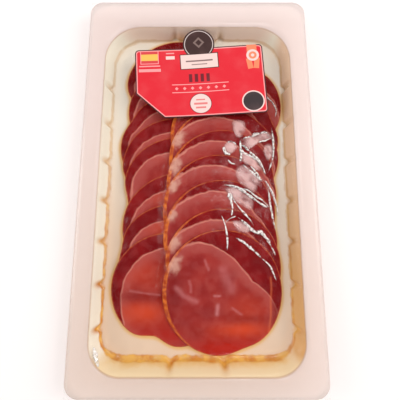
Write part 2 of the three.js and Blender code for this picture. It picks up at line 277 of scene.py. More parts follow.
# %% List the slices
# Middle X and Y in mm, size factors across and along, turn, dent and its direction, as in the solids.
LEFT = [
    (-12.5, 65.2, 1.00, 0.94, 12, 2.5, 205), (-10.5, 45.5, 1.00, 0.97, -8, 2.0, 215),
    (-14.6, 24.5, 1.01, 0.95, 20, 2.0, 150), (-13.0, 8.6, 1.00, 0.94, 5, 2.4, 200),
    (-11.4, -5.2, 1.00, 0.95, -10, 2.0, 190), (-11.6, -28.4, 0.99, 0.95, 14, 2.0, 250),
    (-13.6, -47.0, 1.00, 0.94, 0, 2.0, 170), (-15.6, -64.6, 1.02, 0.95, -6, 5.3, 253),
]
RIGHT = [
    (20.5, 50.5, 0.99, 0.98, 8, 2.0, 60), (17.4, 29.0, 1.00, 0.99, -12, 2.0, 20),
    (16.8, 12.8, 1.00, 0.98, 5, 1.5, -20), (15.6, -3.6, 1.00, 1.00, 16, 2.2, 8),
    (13.4, -19.4, 0.99, 0.99, -6, 2.0, 30), (14.4, -35.2, 1.00, 0.99, 10, 1.5, 12),
    (15.2, -52.6, 1.00, 1.00, 0, 1.5, 190), (14.6, -66.1, 1.01, 1.03, -10, 1.8, 290),
]
RADIUS = 34.4
DENT_WIDTH = 16.0
THICKNESS = 0.87
CONTACT = 0.08
BEND = 4.0
FLOOR = 0.5
print(len(LEFT) + len(RIGHT), "slices")

# %% Work out a slice's outline
def turned(x, y, degrees):
    """x cos - y sin and x sin + y cos."""
    t = math.radians(degrees)
    return x * math.cos(t) - y * math.sin(t), x * math.sin(t) + y * math.cos(t)


def outline_radius(cut, degrees):
    """The radius less a dent that dies away as exp(-(angle off / dent width) squared)."""
    off = (degrees - cut[6] + 180) % 360 - 180
    return RADIUS - cut[5] * np.exp(-((off / DENT_WIDTH) ** 2))


def slice_point(cut, scale, degrees):
    """The outline's point in that direction, drawn towards the middle by scale: the direction is turned
    back, stretched across and along, and turned again."""
    x, y, across, along, turn = cut[:5]
    a, r = np.radians(degrees - turn), scale * outline_radius(cut, degrees)
    u, v = turned(np.cos(a) * across, np.sin(a) * along, turn)
    return x + r * u, y + r * v


def slice_polar(cut, x, y):
    """The reverse: a point's share of the way from the middle to the outline, and its direction."""
    cx, cy, across, along, turn = cut[:5]
    u, v = turned(x - cx, y - cy, -turn)
    degrees = np.degrees(np.arctan2(v / along, u / across)) + turn
    return np.hypot(u / across, v / along) / outline_radius(cut, degrees), degrees

# %% [markdown]
# ## Laying the slices on each other
# A limp slice follows whatever lies under it. The pile is kept as a map of heights on a fine grid: each
# slice rests on a softened copy of the map, so that it rises gently before every edge, and then adds
# its own thickness.

# %% Keep a map of heights
STEP = 0.5
GRID_X = np.arange(-70, 70 + STEP, STEP)
GRID_Y = np.arange(-119, 119 + STEP, STEP)
GX, GY = np.meshgrid(GRID_X, GRID_Y)


def spread(heights, reach, pick):
    """Each height becomes the pick, highest or mean, of those within reach, along Y and then along X."""
    r = round(reach / STEP)
    for axis in (0, 1):
        pad = [(r, r) if a == axis else (0, 0) for a in (0, 1)]
        padded = np.pad(heights, pad, mode="edge")
        windows = np.lib.stride_tricks.sliding_window_view(padded, 2 * r + 1, axis=axis)
        heights = pick(windows, axis=-1)
    return heights


def softened(heights, reach):
    """The mean of the highest, so that it is nowhere lower than the heights themselves."""
    return spread(spread(heights, reach, np.max), reach, np.mean)


def height_at(heights, x, y):
    """Between grid points the height is the mean of the four round it, weighted by nearness."""
    i = np.clip((x - GRID_X[0]) / STEP, 0, len(GRID_X) - 1.001)
    j = np.clip((y - GRID_Y[0]) / STEP, 0, len(GRID_Y) - 1.001)
    i0, j0 = i.astype(int), j.astype(int)
    fi, fj = i - i0, j - j0
    low = heights[j0, i0] * (1 - fi) + heights[j0, i0 + 1] * fi
    high = heights[j0 + 1, i0] * (1 - fi) + heights[j0 + 1, i0 + 1] * fi
    return low * (1 - fj) + high * fj

# %% Pile them up
SLICES = {f"slice_{side}_{i + 1}": cut for side, cuts in (("left", LEFT), ("right", RIGHT))
          for i, cut in enumerate(cuts)}
pile = np.full(GX.shape, FLOOR)
meat = np.zeros(GX.shape)
undersides = {}
for name, cut in SLICES.items():
    undersides[name] = softened(pile, BEND) + CONTACT
    share, _ = slice_polar(cut, GX, GY)
    pile = np.where(share <= 1, np.maximum(pile, undersides[name] + THICKNESS), pile)
    meat = np.where(share <= 1, 1.0, meat)
print("the pile's top is at", round(float(pile.max()), 2), "mm")

# %% [markdown]
# ## The picture on each slice
# The seam is a curve round the middle. Its distance from the middle changes with the direction, counted
# clockwise from the wedge of fat, and is read from a short table. The signed distance to the seam is
# smooth, so it can be stored on the points, and the material draws a sharp line from it.

# %% Describe the seam and the wedge
SEAM_AT = [-60, -15, 0, 12, 30, 50, 75, 92, 110, 128, 150, 170, 190, 300]
SEAM_SHARE = [1.25, 1.10, 1.00, 0.93, 0.865, 0.82, 0.765, 0.73, 0.69, 0.73, 0.88, 0.98, 1.08, 1.25]
LAST_LEFT, LAST_RIGHT = "slice_left_8", "slice_right_8"
# On the last slice of each column the seam runs its own way, here by the plain direction.
LAST_SEAMS = {
    LAST_RIGHT: ([-120, -40, -12, 0, 8, 16, 30, 54, 82, 104, 117, 130, 143, 153, 240],
                 [1.25, 1.15, 0.90, 0.71, 0.61, 0.53, 0.485, 0.485, 0.605, 0.76, 0.90, 0.98, 1.03, 1.06,
                  1.25]),
    LAST_LEFT: ([0, 60, 105, 123, 150, 180, 211, 240, 360],
                [0.80, 0.74, 0.72, 0.74, 0.75, 0.80, 0.91, 1.15, 1.25]),
}
SEAM_BLUR = 10
# The wedge's direction in each column, its half sizes along the edge and inwards, and its middle's share.
WEDGE = {"left": 212.0, "right": 152.0}
WEDGE_HALF, WEDGE_SHARE = (5.6, 3.8), 0.92


def seam_share(name, degrees, clockwise):
    """The table's values, each the mean over SEAM_BLUR degrees round it, which rounds the corners off."""
    at, shares = LAST_SEAMS.get(name, (SEAM_AT, SEAM_SHARE))
    spots = degrees if name in LAST_SEAMS else clockwise
    spots = (spots[..., None] + np.linspace(-SEAM_BLUR, SEAM_BLUR, 9) - at[0]) % 360 + at[0]
    return np.interp(spots, at, shares).mean(-1)

# %% [markdown]
# The last slice of each column shows its whole face, with patches and streaks of its own: an orange low
# end where the oil is thickest, a dark fold above it, and pale marks. Each is a soft spot or a soft line
# in a list.

# %% List the patches and the streaks
# Soft fields of colour on single slices: kind, middle X and Y, half sizes across and along, amount.
FIELDS = {
    LAST_RIGHT: [("warm", 11, -21, 17, 4.5, 1.0), ("warm", 15, -9, 12, 9, 0.4),
                 ("dark", 31, -6, 3.0, 22, 0.9), ("dark", -28, 2, 5, 15, 0.9),
                 ("deep", 3, -31, 22, 6.0, 1.1), ("dark", 16, -15, 10, 2.2, 0.55)],
    LAST_LEFT: [("warm", -16, -13, 16, 7, 1.0), ("dark", -17, -4.5, 18, 3.4, 0.75),
                ("deep", 0, -25, 24, 6, 0.6), ("warm", -14, 8, 14, 9, 0.45)],
    "slice_left_7": [("warm", 2, 18, 16, 7, 0.9)],
    "slice_left_6": [("warm", 0, 18, 16, 7, 0.7)],
    "slice_left_5": [("warm", 4, 20, 14, 6, 0.4)],
    "slice_left_4": [("warm", 4, 14, 14, 7, 0.7)],
}
# Thin marks on the last slices: kind, half width, amount, and a path as X and Y on the pack.
MARKS = {
    LAST_RIGHT: [("oil", 0.5, 0.7, "42.6 -58, 42.9 -64, 42.4 -71, 42.3 -79.5, 41 -88"),
                 ("pale", 0.7, 0.6, "4.3 -47.8, 5.2 -50.3, 6.6 -53.2"),
                 ("pale", 0.8, 0.5, "-4.5 -59.5, -3.7 -62.2, -3.7 -65.6"),
                 ("pale", 1.6, 0.6, "-11.7 -63.3, -7.6 -67.8, -0.6 -70.8"),
                 ("pale", 0.6, 0.9, "9.7 -67.8, 12.9 -67.8"),
                 ("pale", 1.1, 1.0, "11.6 -73.1, 11.2 -77.9"),
                 ("pale", 0.7, 0.6, "19.9 -74.6, 25.2 -78.3"),
                 ("pale", 3.0, 0.45, "14.4 -53.1, 17.1 -59, 19.2 -63.8")],
    LAST_LEFT: [("pale", 0.6, 0.5, "-39.2 -65.6, -31.5 -66.7, -21.8 -67.8")],
}
print(sum(map(len, FIELDS.values())), "patches and", sum(map(len, MARKS.values())), "streaks")


def corners_of(text):
    return np.array([corner.split() for corner in text.split(",")], float)


def distance_to(corners, points, closed=True):
    """The least distance from each point to the path's edges."""
    a, b = corners, np.roll(corners, -1, 0)
    if not closed:
        a, b = a[:-1], b[:-1]
    along = b - a
    t = ((points[:, None] - a) * along).sum(-1) / (along**2).sum(-1)
    nearest = a + np.clip(t, 0, 1)[..., None] * along
    return np.hypot(*np.moveaxis(points[:, None] - nearest, -1, 0)).min(1)

# %% Work out the numbers on a slice's points
def patches(name, cut, x, y):
    """A patch is its amount times exp(-distance squared in half sizes), and patches add up. A streak is
    the same of the distance to its path, and the stronger of two counts."""
    values = {kind: 0 * x for kind in ("warm", "dark", "deep", "oil", "pale")}
    for kind, fx, fy, hx, hy, amount in FIELDS.get(name, []):
        off = ((x - cut[0] - fx) / hx) ** 2 + ((y - cut[1] - fy) / hy) ** 2
        values[kind] = values[kind] + amount * np.exp(-off)
    points = np.stack([x.ravel(), y.ravel()], -1)
    for kind, half, amount, path in MARKS.get(name, []):
        off = distance_to(corners_of(path), points, closed=False).reshape(x.shape)
        values[kind] = np.maximum(values[kind], amount * np.exp(-((off / half) ** 2)))
    return values


def slice_values(name, cut, share, degrees, x, y):
    """Signed distances to the seam and to the paprika's inner border, the seam's half width, and the
    wedge's field, 1 at its middle and 0 at its border. The wedge's size varies with the slice's place,
    and the last left slice has next to none. The right column's left rim has a wider coat."""
    column = name.split("_")[1]
    clockwise = WEDGE[column] + 0.35 * cut[4] - degrees
    radius = outline_radius(cut, degrees)
    turn = (clockwise + 180) % 360 - 180
    size = (1 + 0.25 * math.sin(3.1 * cut[1])) * (0.01 if name == LAST_LEFT else 1)
    along = (turn + 1) * np.pi / 180 * share * radius / (WEDGE_HALF[0] * size)
    inwards = (share - WEDGE_SHARE) * radius / (WEDGE_HALF[1] * size)
    left_rim = np.clip(-np.cos(np.radians(degrees)), 0, 1) ** 3 if column == "right" else 0 * x
    coat_width = 0.6 + (1.9 * left_rim if column == "right" else 0.1)
    return {"seam": (seam_share(name, degrees, clockwise) - share) * radius,
            "width": 0.22 + (0 if name == LAST_LEFT else 0.9) * np.exp(-np.abs(turn) / 20),
            "coat": (1 - share) * radius - coat_width, "left_rim": left_rim,
            "wedge": 1 - np.hypot(along, inwards), **patches(name, cut, x, y)}

# %% [markdown]
# ## The meat's finish
# Cured meat is moist and satin, with fine fibres. The colour is layered: the round muscle, paler
# towards the seam, then the crescent, the seam, the wedge, the fields and the paprika round the edge.
# Each border is broken up by noise, because none of them is clean on a real slice.

# %% Mix the meat's colours
def cured_meat():
    """The borders are where seam, coat and wedge pass 0, each moved to and fro by a noise."""
    material, c, surface = new_material("cured_meat")
    cloud, fine, fibre = c.step(c.noise(9), 0.3, 0.7), c.noise(1.6), c.noise(0.7, 2.0, (1, 0.35, 1))
    wobble = c.wander(2.4, 1.2)
    seam = c.plus(c.plus(c.value("seam"), wobble), c.wander(5, 2.2))
    muscle = c.layers(c.blend(cloud, (142, 38, 37), (162, 54, 48)),
                      (c.times(c.step(seam, 9.0, 0.5), 0.65), (178, 86, 80)),
                      (c.times(c.value("warm"), 0.9, clamp=True), (204, 70, 40)))
    crescent = c.blend(cloud, (114, 8, 14), (138, 22, 24))
    beyond = c.minus(c.math("ABSOLUTE", seam), c.value("width"))
    line = c.times(c.step(beyond, 0.6, -0.25), c.plus(0.35, c.times(c.noise(4), 0.7)))
    dark, deep = c.times(c.value("dark"), 0.8, clamp=True), c.times(c.value("deep"), 0.85, clamp=True)
    grain = c.times(c.step(fine, 0.5, 0.8), 0.10)
    pale = c.times(c.value("pale"), c.plus(0.35, c.times(fine, 0.6)))
    coat = c.step(c.plus(c.value("coat"), c.times(wobble, 0.5)), 0.3, -0.4)
    rim = c.blend(c.step(c.noise(2.6), 0.35, 0.65), (168, 62, 26), (222, 120, 44))
    paprika = c.blend(c.step(fine, 0.35, 0.65), (166, 62, 38), (206, 106, 58))
    paprika = c.blend(c.value("left_rim"), paprika, rim)
    fat = c.step(c.plus(c.value("wedge"), c.wander(3.2, 1.3, 2.0)), -0.15, 0.9)
    oil = c.times(c.value("oil"), c.plus(0.5, c.times(fine, 0.7)), clamp=True)
    colour = c.layers(c.blend(c.step(seam, 0.3, -0.3), muscle, crescent), (line, (212, 134, 118)),
                      (dark, (118, 16, 20)), (deep, (180, 30, 14)), (grain, (190, 88, 74)),
                      (pale, (206, 128, 128)), (c.times(coat, 0.85), paprika),
                      (c.times(fat, 0.8), (214, 164, 146)), (oil, (214, 104, 66)))
    relief = c.relief(c.plus(fibre, c.times(fine, 0.8)), 0.04)
    c.feed(surface, {"Base Color": colour, "Roughness": c.plus(0.42, c.times(fine, 0.25)),
                     "Specular IOR Level": 0.06, "Normal": relief})
    return material


CURED_MEAT = cured_meat()

# %% Make each slice
SLICE_STATIONS = 200
EDGE = 0.985
OUT = np.linspace(0.06, EDGE, 9)
IN = {"plain": np.concatenate([np.linspace(EDGE, 0.5, 30), np.linspace(0.46, 0.05, 9)]),
      "fine": np.linspace(EDGE, 0.03, 60)}


def slice_rings(inner):
    """Shares of the way out and shares of the thickness: out along the underside, round the edge on a
    half circle, and back in along the top."""
    turn = np.radians(np.linspace(-60, 60, 5))
    edge_out, edge_up = EDGE + 0.013 * np.cos(turn), 0.5 + 0.5 * np.sin(turn)
    return np.concatenate([OUT, edge_out, inner]), np.concatenate([0 * OUT, edge_up, 0 * inner + 1])


def make_slice(name, cut):
    scales, ups = slice_rings(IN["fine" if name in LAST_SEAMS else "plain"])
    share, degrees = np.meshgrid(scales, np.arange(SLICE_STATIONS) * 360 / SLICE_STATIONS, indexing="ij")
    x, y = slice_point(cut, share, degrees)
    z = height_at(undersides[name], x, y) + ups[:, None] * THICKNESS
    points, faces = carried_round(np.stack([x, y, z], -1))
    values = slice_values(name, cut, share, degrees, x, y)
    values = {key: poles_too(value) for key, value in values.items()}
    make_piece(f"loin_{name}", points, faces, CURED_MEAT, [name], values)


for name, cut in SLICES.items():
    make_slice(name, cut)

# %% [markdown]
# ## The tray
# The tray is pressed from one thin clear sheet. Its walls slope and are fluted: grooves cut outwards
# at even steps, which stiffens them. Oil from the meat has pooled as amber at the foot of the wall and
# in the grooves, more of it towards the lower end. One profile, carried round the recess, makes the
# sheet from the middle of its underside out to the flange and back in along its upper side.

# %% Draw a ring round the pack
RIM = {"side": 59.0, "top": 101.0, "bottom": -109.0}
CORNER = {"top": (36.0, 78.0), "bottom": (41.0, -91.0)}
OUTER = {"side": 70.0, "top": 119.0, "bottom": -119.0}
OUTER_CORNER = {"top": (62.0, 111.0), "bottom": (62.0, -111.0)}
RUN = {"side": 3.8, "top": 2.6, "bottom": 7.0}
GROOVES = -86.5 + 24.8 * np.arange(7)
END_GROOVE = 15.2
GROOVE_DEPTH, GROOVE_HALF, SHEET, TOP = 2.4, 3.4, 0.5, 11.0
ARC, SIDE, END = 34, 260, 44


def half_ring(edge, corner):
    """The right half from the middle of the lower end to that of the upper one, as X, Y and the two
    parts of the direction outwards: half an end, a quarter ellipse, a side, and the same again."""
    (tx, ty), (bx, by) = corner["top"], corner["bottom"]
    low, side = (np.linspace(0, 1, n, endpoint=False) for n in (END, SIDE))
    high = np.linspace(1, 0, END)
    arc = np.radians(np.linspace(0, 90, ARC, endpoint=False))
    sin, cos = np.sin(arc), np.cos(arc)
    parts = [(low * bx, edge["bottom"], 0, -1),
             (bx + (edge["side"] - bx) * sin, by - (by - edge["bottom"]) * cos, sin, -cos),
             (edge["side"], by + side * (ty - by), 1, 0),
             (tx + (edge["side"] - tx) * cos, ty + (edge["top"] - ty) * sin, cos, sin),
             (high * tx, edge["top"], 0, 1)]
    return np.concatenate([np.stack(np.broadcast_arrays(*part), -1) for part in parts])


def whole_ring(edge, corner):
    """The right half and its mirror image, anticlockwise."""
    half = half_ring(edge, corner)
    return np.concatenate([half, (half * [-1, 1, -1, 1])[-2:0:-1]])


def groove_share(ring):
    """1 in the middle of a groove and 0 outside it, as the square of a half cosine."""
    x, y, nx, ny = ring.T
    off_side = np.abs(y[:, None] - GROOVES).min(1)
    off_end = np.abs(np.abs(x) - END_GROOVE)
    off = np.where(np.abs(nx) > 0.999, off_side, np.where(np.abs(ny) > 0.999, off_end, GROOVE_HALF))
    return np.cos(np.clip(off / GROOVE_HALF, 0, 1) * np.pi / 2) ** 2


def wall_ring(share, out, grooved=1):
    """The ring at that share of the way down the wall, out millimetres further out."""
    edge = {"side": RIM["side"] - RUN["side"] * share + out, "top": RIM["top"] - RUN["top"] * share + out,
            "bottom": RIM["bottom"] + RUN["bottom"] * share - out}
    ring = whole_ring(edge, CORNER)
    groove = groove_share(ring) * grooved
    return ring[:, :2] + ring[:, 2:] * (GROOVE_DEPTH * groove * share)[:, None], groove


def wall_height(share):
    """Mostly straight, and eased at the rim and at the foot as a half cosine."""
    return SHEET + (TOP - SHEET) * (1 - (0.65 * share + 0.35 * (0.5 - 0.5 * np.cos(np.pi * share))))

# %% Carry the tray's profile round
WALL = np.linspace(0, 1, 13)
FLANGE = np.linspace(1, 0, 4, endpoint=False)
FLOOR_IN = np.concatenate([np.linspace(0.992, 0.55, 42), np.linspace(0.5, 0.04, 7)])
MIDDLE = np.array([0.0, -4.0])
FRINGE = 3.0


def tray_side(out, drop, floor_shares):
    """One face of the sheet from the flange's edge to the middle of the floor. With each point go its
    distance from the wall's foot, positive up the wall, its share of the way down the wall, and the
    groove's share. The floor's rings shrink from a foot without grooves, so none folds over."""
    outer = whole_ring(OUTER, OUTER_CORNER)[:, :2]
    rim, _ = wall_ring(0, out)
    foot, groove = wall_ring(1, out)
    plain_foot, _ = wall_ring(1, out, grooved=0)
    wall_length = math.hypot(TOP - SHEET, RUN["side"])
    rows, nil = [], 0 * groove
    for t in FLANGE:
        ring = rim + t * (outer - rim)
        rows.append((ring, TOP, wall_length + np.hypot(*(ring - rim).T), nil, nil))
    for t in WALL:
        rows.append((wall_ring(t, out)[0], wall_height(t), wall_length * (1 - t) + nil, t + nil, groove))
    for t in floor_shares:
        ring = MIDDLE + t * (plain_foot - MIDDLE)
        rows.append((ring, SHEET, -np.hypot(*(ring - foot).T), 1 + nil, groove))
    points = np.array([np.column_stack([ring, height - drop + nil]) for ring, height, *_ in rows])
    return points, np.array([row[2:] for row in rows])


under, under_marks = tray_side(SHEET, SHEET, FLOOR_IN[::8])
upper, upper_marks = tray_side(0, 0, FLOOR_IN)
tray_rings = np.concatenate([under[::-1], upper])
marks = np.concatenate([under_marks[::-1], upper_marks])
ring_x, ring_y = tray_rings[..., 0], tray_rings[..., 1]
tray_values = {
    "foot": marks[:, 0], "down": marks[:, 1], "groove": marks[:, 2],
    "fringe": height_at(spread(meat, FRINGE, np.mean), ring_x, ring_y),
    "low_end": np.clip((60 - ring_y) / 165, 0, 1) * np.clip(1.1 - ring_x / 110, 0, 1),
    "right": np.clip((ring_x - 50) / 5, 0, 1), "low": np.clip((-98 - ring_y) / 5, 0, 1),
    "high": np.clip((ring_y - 95) / 4, 0, 1)}
tray_values = {key: poles_too(value) for key, value in tray_values.items()}
points, faces = carried_round(tray_rings)
print("tray:", len(points), "points")

# %% Mix the tray's plastic
def tray_plastic():
    """Clear sheet with a cream haze, more golden towards the low end. The right wall and the far wall are
    painted darker, as painted shade, and the floor's right strip a little lighter, as painted light. The
    oil goes by the distance to the wall's foot: a wavering amber line there and blots in the grooves. A
    thin tan line is drawn along the rim. Colour and alpha both follow the oil and that line."""
    material, c, surface = new_material("tray_plastic")
    low, groove, foot = c.value("low_end"), c.value("groove"), c.value("foot")
    inside = c.step(c.value("down"), 0.0, 0.12)
    # The floor's right strip is painted a little lighter: painted light against the shade that the pile
    # and the right wall cast there.
    floor = c.blend(c.value("right"), (254, 244, 228), (255, 248, 236))
    floor = c.blend(c.step(low, 0.0, 0.75), floor, (241, 211, 183))
    # The right wall's darker tan is painted shade, since it faces away from the main light; its more
    # amber low end is oil.
    right = c.blend(c.step(low, 0.1, 0.5), (240, 204, 172), (228, 178, 114))
    near_foot = c.step(c.plus(foot, c.times(c.noise(6), 4.0)), 9.0, 3.0)
    golden = c.blend(near_foot, (252, 228, 184), (240, 188, 100))
    # Over the cream wall lie the right wall's painted shade, the far wall's pinker tan, which is painted
    # shade too, and the golden low end.
    wall = c.layers((255, 246, 228), (c.value("right"), right), (c.value("high"), (255, 230, 212)),
                    (c.value("low"), golden))
    flange = c.blend(low, (244, 224, 218), (236, 213, 199))
    colour = c.blend(inside, flange, c.blend(c.step(foot, -0.3, 0.8), floor, wall))
    off = c.math("ABSOLUTE", c.plus(c.minus(foot, 0.6), c.wander(5, 2.6)))
    swell = c.times(c.plus(c.times(c.value("low"), 0.9), c.noise(14)), 1.1)
    strength = c.plus(0.5, c.times(low, 0.6), clamp=True)
    strength = c.times(strength, c.step(c.noise(8), 0.15, 0.45))
    pool = c.times(c.step(c.minus(off, swell), 1.6, 0.1), strength)
    blot = c.times(c.times(groove, c.step(foot, 9.0, 1.5)), c.step(foot, -3.0, -0.5))
    oil = c.larger(pool, c.times(blot, c.plus(0.5, c.times(low, 0.7))))
    # A thin tan line is drawn along the rim's bend.
    rim_line = c.times(c.step(c.math("ABSOLUTE", c.minus(foot, 10.6)), 1.0, 0.2), 0.5)
    ring = c.times(c.step(c.value("fringe"), 0.06, 0.42), 0.85)
    golden_oil = c.blend(c.step(c.noise(7), 0.35, 0.65), (212, 132, 44), (236, 178, 82))
    amber = c.blend(c.step(low, 0.0, 0.6), (222, 176, 112), golden_oil)
    colour = c.layers(colour, (ring, (244, 190, 104)), (rim_line, (196, 152, 112)), (oil, amber))
    oil_and_rim_line = c.larger(c.larger(oil, ring), rim_line)
    alpha = c.larger(c.plus(0.5, c.times(inside, 0.35)), c.times(oil_and_rim_line, 0.95))
    c.feed(surface, {"Base Color": colour, "Alpha": alpha, "Roughness": 0.25, "Coat Weight": 0.3,
                     "Coat Roughness": 0.08})
    return material


make_piece("clear_tray", points, faces, tray_plastic(), ["tray"], tray_values)

# %% [markdown]
# ## The film
# The film is drawn down by the vacuum. It lies flat on the flange, bridges the foot of the wall, clings
# to the floor and to every slice's edge, and folds up into fine creases where it had too much length.
# It is the softened map of everything under it, as one closed sheet a tenth of a millimetre thick.

# %% Work out the height under the film
def recess_depth(x, y):
    """How far down the wall a point is, from 0 on the flange to 1 on the floor. Beside a side it is the
    distance from the rim over the wall's run; in a corner the rim's and the foot's ellipses give it."""
    ax = np.abs(x)
    depth = np.minimum(np.minimum((RIM["side"] - ax) / RUN["side"], (RIM["top"] - y) / RUN["top"]),
                       (y - RIM["bottom"]) / RUN["bottom"])
    for end, way in (("top", 1), ("bottom", -1)):
        cx, cy = CORNER[end]
        a, b = ax - cx, way * (y - cy)
        rx, ry = RIM["side"] - cx, way * (RIM[end] - cy)
        outer = np.hypot(a / rx, b / ry)
        inner = np.hypot(a / (rx - RUN["side"]), b / (ry - RUN[end]))
        here = (1 - outer) / np.maximum(inner - outer, 1e-6)
        depth = np.where((a > 0) & (b > 0), here, depth)
    return np.clip(depth, 0, 1)


bed = np.maximum(pile, wall_height(recess_depth(GX, GY)))
FILM_BEND, FILM_GAP, FILM_THICKNESS = 2.0, 0.12, 0.1
film_under = softened(bed, FILM_BEND) + FILM_GAP
film_top = film_under + FILM_THICKNESS
print("the film's top is at", round(float(film_top.max()), 2), "mm")

# %% Make the film
def closed_grid(x, y, low, high):
    """Two layers of the same grid, the lower one turned over, joined round their border."""
    rows, cols = x.shape
    n = rows * cols
    at = np.arange(n).reshape(rows, cols)
    cell = np.stack([at[:-1, :-1], at[:-1, 1:], at[1:, 1:], at[1:, :-1]], -1).reshape(-1, 4)
    rim = np.concatenate([at[0, :-1], at[:-1, -1], at[-1, :0:-1], at[:0:-1, 0]])
    after = np.roll(rim, -1)
    border = np.stack([rim, after, after + n, rim + n], -1)
    points = np.concatenate([np.stack([x, y, z], -1).reshape(-1, 3) for z in (low, high)])
    return points, [np.concatenate([cell[:, ::-1], cell + n, border])]


def film_lines(limit, foot, count):
    """Places from -limit to limit that lie closer together near the wall, at -foot and foot."""
    t = np.linspace(-1, 1, count)
    return limit * (t + 0.10 * np.sin(2 * np.pi * t) * foot / limit)


fx, fy = np.meshgrid(film_lines(69.6, 57, 150), film_lines(118.6, 104, 250))
points, faces = closed_grid(fx, fy, height_at(film_under, fx, fy), height_at(film_top, fx, fy))
print("film:", len(faces[0]) * 2, "triangles")

# %% Mix the film
MIRROR_SHARE, MIRROR_LIMIT = 0.4, 0.15


def clear_film():
    """A clear film only mirrors. Its alpha is MIRROR_SHARE of what Fresnel's law gives, at most
    MIRROR_LIMIT, and the rest of the light goes straight through. The lower side clings to moist meat
    and mirrors nothing, and in the recess the upper side mirrors in patches."""
    material, c, surface = new_material("clear_film")
    ripple = c.plus(c.noise(5, 2.0), c.times(c.noise(1.8, 2.0), 0.3))
    patch = c.step(c.noise(4.5, 1.0), 0.42, 0.62)
    kept = c.minus(1.0, c.times(c.value("recess"), c.minus(0.85, patch, clamp=True)))
    mirror = c.node("ShaderNodeFresnel", {"IOR": 1.45}).outputs[0]
    mirror = c.times(mirror, c.times(c.value("outer"), kept))
    c.feed(surface, {"Base Color": (1, 1, 1, 1), "Metallic": 1.0, "Roughness": 0.14,
                     "Normal": c.relief(c.times(ripple, c.value("recess")), 0.30),
                     "Alpha": c.math("MINIMUM", c.times(mirror, MIRROR_SHARE), MIRROR_LIMIT)})
    return material


film_values = {"recess": np.tile(recess_depth(fx, fy).ravel(), 2),
               "outer": np.repeat([0.0, 1.0], fx.size)}
make_piece("vacuum_film", points, faces, clear_film(), ["film"], film_values)

# %% [markdown]
# ## Creases and blisters in the film
# Where the film has too much length it pinches up into narrow folds, mostly over the right column.
# They would catch the light from every side; their white is a painted highlight. Each is a small tent
# carried along a smooth path on the film, tapering to nothing at both ends. Between them the film stands
# off the meat in blisters, each a flat lens inside a closed outline, with a painted pinkish-white haze of
# reflection.

# %% List the creases and the blisters
# A crease is its half width and its path, and a blister is its outline, as X and Y on the pack.
CREASES = [
    (0.80, "27.5 25.4, 31.2 26.5, 34.2 27.4, 36.1 29.6, 39.2 30.5, 42.9 31.5, 45.2 29.6, 47 27.7"),
    (0.55, "38 23.8, 40.2 25.1, 43.3 26.1, 46.7 27.7"),
    (0.60, "47 35.4, 47.6 30.9, 47.8 25.8, 47.8 20.1, 47.1 15, 45.5 10.1, 43.9 5.8"),
    (0.75, "26.3 23.8, 26.5 21, 28.6 20.4, 31.5 17.5, 35 14.4, 37.9 11.3, 40.1 7.6, 41.7 3.3"),
    (0.80, "26.8 19.4, 27.9 16.3, 30.8 14.7, 33.8 13.5, 36.1 11.9"),
    (0.95, "18.4 22.4, 20.4 23.4, 22.6 22.3, 23.8 20.9"),
    (0.95, "16.2 20, 16.3 17.6, 17.6 15.4, 20.2 14.6"),
    (0.40, "18.4 11.4, 20.2 9.3, 22.8 8.7"),
    (0.85, "25.6 10.4, 26.6 14.5, 26.3 20, 26.2 24.2"),
    (0.75, "27.1 8.8, 29.4 6.4, 32.3 4.2, 35.2 1.8, 37.5 0, 39.2 -0.9"),
    (0.50, "31.8 7.6, 34.4 4.9, 36.4 2.1, 38.1 0.3"),
    (0.80, "15.1 -4.2, 18.6 -4.5, 22.7 -5.4, 26.7 -7.5, 30.7 -10.5, 34.1 -12.9, 37.5 -15.2, 43.2 -18.1"),
    (0.50, "25.6 -6.3, 29.6 -7.2, 32.5 -9.3, 35.3 -11.4, 38.2 -12.9, 42.4 -17"),
    (0.60, "39.2 -0.6, 41.6 -1.2, 43.2 -3.6, 45.4 -7.5, 47.2 -12.9, 48.5 -17, 48.8 -22.2"),
    (0.55, "42 -3.9, 43.2 -8.1, 43.3 -12.9, 43.8 -17.6, 44.8 -22.8, 46 -27.4, 46.6 -31.4"),
    (1.30, "18.4 -8.8, 19.3 -10.8, 19.9 -13.2"),
    (0.55, "19.3 -10.8, 19.9 -14, 20.5 -18.1, 19.7 -22.8"),
    (0.50, "20.2 -10.5, 22.2 -14.6, 24.7 -18.1, 27.5 -21.3, 30.3 -24.5, 33 -28.5"),
    (0.80, "22.6 -22.8, 25.7 -25.1, 29 -28, 31.5 -30.5, 34.1 -32.1, 36.9 -31.9, 39.1 -34.2, 41.5 -37, "
           "45.6 -45.4"),
    (0.50, "13.9 -22.2, 15.6 -26.2, 16.4 -29.7, 17.2 -36, 17 -42"),
    (0.60, "16.2 -26.5, 18.8 -24.2, 22.3 -22.8"),
    (0.75, "22 -35.3, 26 -37.4, 30 -40.5, 34 -44, 36.9 -46.7"),
    (0.50, "36.9 -46.7, 40 -49.4, 42.3 -51.9, 45.8 -59.8"),
    # The next is no crease but a white strip at the tray's lower left corner, a painted highlight.
    (1.20, "-56 -93.6, -54.7 -97.2, -53.3 -100.9, -51.8 -103.4"),
    (0.45, "37.8 60, 42.7 58.3, 46.3 55.9, 49.6 51.9, 51.2 47.2, 50 41.9"),
]
